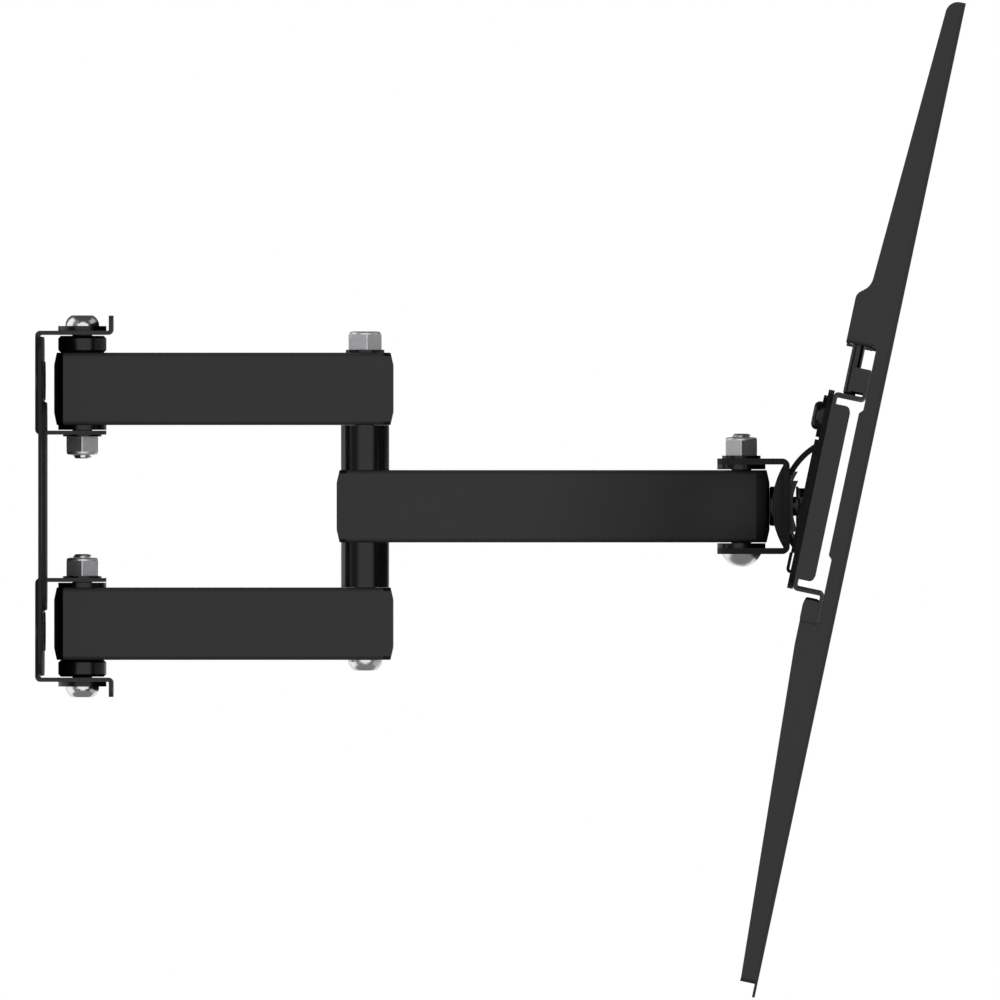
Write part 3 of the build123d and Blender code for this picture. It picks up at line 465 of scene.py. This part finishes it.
floor_shape = bmesh.new()
bmesh.ops.create_grid(floor_shape, x_segments=1, y_segments=1, size=floor_half)
floor_place = (middle.x, 0, solid_box[0].z - floor_drop)
bmesh.ops.translate(floor_shape, verts=floor_shape.verts, vec=floor_place)
floor_mesh = bpy.data.meshes.new("floor")
floor_shape.to_mesh(floor_mesh)
floor_shape.free()
floor = bpy.data.objects.new("floor", floor_mesh)
bpy.context.scene.collection.objects.link(floor)
# The floor paper also glows. Its emission colour is painted light, grey near the mount and rising to
# white further out, so the floor fades into the white world.
paper = Finish(bpy.data.materials.new("floor_paper"))
fibre = paper.noise(40.0, 3.0)
spread = paper.node("ShaderNodeTexCoord", {}, {}, "Object")
spread = paper.node("ShaderNodeVectorMath", {"operation": "LENGTH"}, {0: spread}, "Value")
outside = (spread - glow_from) / (glow_to - glow_from)
floor_mesh.materials.append(
    paper.surface(
        {
            "Base Color": paper.between(fibre, paper_dark, paper_light),
            "Roughness": 0.9,
            "Emission Color": paper.between(outside, glow_dark, shade(1, 1, 1)),
            "Emission Strength": 1.0,
        }
    )
)
floor.visible_diffuse = False
floor.visible_glossy = False

world = bpy.data.worlds.new("studio")
bpy.context.scene.world = world
sky = Finish(world)
seen_rays = ("Is Camera Ray", "Is Glossy Ray", "Is Transmission Ray")
seen = [sky.node("ShaderNodeLightPath", {}, {}, ray) for ray in seen_rays]
direct = seen[0] + seen[1] + seen[2]
surround = 0.08
white = sky.node("ShaderNodeMath", {"operation": "MINIMUM"}, {0: direct, 1: 1.0})
strength = surround + (1.0 - surround) * white
background = sky.node("ShaderNodeBackground", {}, {"Color": shade(1, 1, 1), "Strength": strength})
sky.node("ShaderNodeOutputWorld", {}, {"Surface": background})


def soft_box(name, place, width, height, power):
    """A rectangular lamp that faces the mount and isn't seen in its gloss."""
    lamp = bpy.data.lights.new(name, "AREA")
    lamp.shape = "RECTANGLE"
    lamp.size = width
    lamp.size_y = height
    lamp.energy = power
    stand = bpy.data.objects.new(name, lamp)
    stand.location = place
    stand.rotation_euler = (middle - Vector(place)).to_track_quat("-Z", "Y").to_euler()
    stand.visible_glossy = False
    bpy.context.scene.collection.objects.link(stand)


key_turn = math.radians(20)
key_r = 5.0
key_place = (middle.x + key_r * math.sin(key_turn), -key_r * math.cos(key_turn), 0.1)
soft_box("front_box", key_place, 1.8, 1.6, 260.0)
soft_box("top_box", (middle.x - 0.5, 1.5, 3.0), 2.0, 2.0, 60.0)
soft_box("back_box", (middle.x + 1.5, 4.0, 1.2), 2.5, 2.0, 90.0)

# Cloth hangs all round, open towards the camera, for the gloss alone to show: dark in
# front and above, white on the left and low behind, grey on the right and below.
tent_r = 3.0
mouth_turn = 4.0
mouth_wide = 38.0
mouth_high = 40.0
tent_roof = 50
tent_foot = -46
tent_rear = 125
tent_left_seam = -68
tent_front_seam = -30
tent_right_seam = 62
tent_tones = {
    "tent_front": 0.06,
    "tent_front_left": 0.22,
    "tent_left": 1.0,
    "tent_right": 0.45,
    "tent_above": 0.07,
    "tent_below": 0.20,
    "tent_back": 0.10,
    "tent_low_back": 0.85,
}


def tent_tone(way):
    """Which cloth hangs in a direction."""
    turn = math.degrees(math.atan2(way.x, -way.y))
    rise = math.degrees(math.asin(way.z))
    if rise > tent_roof:
        return "tent_above"
    if rise < tent_foot:
        return "tent_below"
    if abs(turn) > tent_rear:
        return "tent_back" if rise > 0 else "tent_low_back"
    if turn < tent_left_seam:
        return "tent_left"
    if turn > tent_right_seam:
        return "tent_right"
    return "tent_front_left" if turn < tent_front_seam else "tent_front"


def in_mouth(way):
    """Whether a direction looks out through the tent's mouth."""
    turn = math.degrees(math.atan2(way.x, -way.y)) - mouth_turn
    return math.hypot(turn / mouth_wide, math.degrees(math.asin(way.z)) / mouth_high) < 1


tent_shape = bmesh.new()
bmesh.ops.create_uvsphere(tent_shape, u_segments=72, v_segments=36, radius=tent_r)
mouth = [f for f in tent_shape.faces if in_mouth(f.calc_center_median().normalized())]
bmesh.ops.delete(tent_shape, geom=mouth, context="FACES")
for face in tent_shape.faces:
    tone = tent_tone(face.calc_center_median().normalized())
    face.material_index = list(tent_tones).index(tone)
bmesh.ops.translate(tent_shape, verts=tent_shape.verts, vec=middle)
tent_mesh = bpy.data.meshes.new("tent")
tent_shape.to_mesh(tent_mesh)
tent_shape.free()
tent = bpy.data.objects.new("tent", tent_mesh)
bpy.context.scene.collection.objects.link(tent)
for name, strength in tent_tones.items():
    cloth = Finish(bpy.data.materials.new(name))
    glow = cloth.node("ShaderNodeEmission", {}, {"Color": shade(1, 1, 1), "Strength": strength})
    cloth.node("ShaderNodeOutputMaterial", {}, {"Surface": glow})
    tent_mesh.materials.append(cloth.owner)
tent.visible_camera = False
tent.visible_diffuse = False
tent.visible_transmission = False
tent.visible_volume_scatter = False
tent.visible_shadow = False

# ------------------------------------------------------------ camera
# A long lens, level with the pivots, square to the arms but for half a degree.

lens = 1650.0
sensor = 36.0
view_width = 0.41436
distance = view_width * lens / sensor
aim = Vector((0.1907, 0.0, 0.0026))
shot = bpy.data.cameras.new("camera")
shot.lens = lens
shot.sensor_width = sensor
shot.clip_end = 100.0
camera = bpy.data.objects.new("camera", shot)
camera.location = (0.340, -distance, aim.z)
camera.rotation_euler = (aim - camera.location).to_track_quat("-Z", "Y").to_euler()
bpy.context.scene.collection.objects.link(camera)
bpy.context.scene.camera = camera
bpy.context.scene.view_settings.view_transform = "Standard"
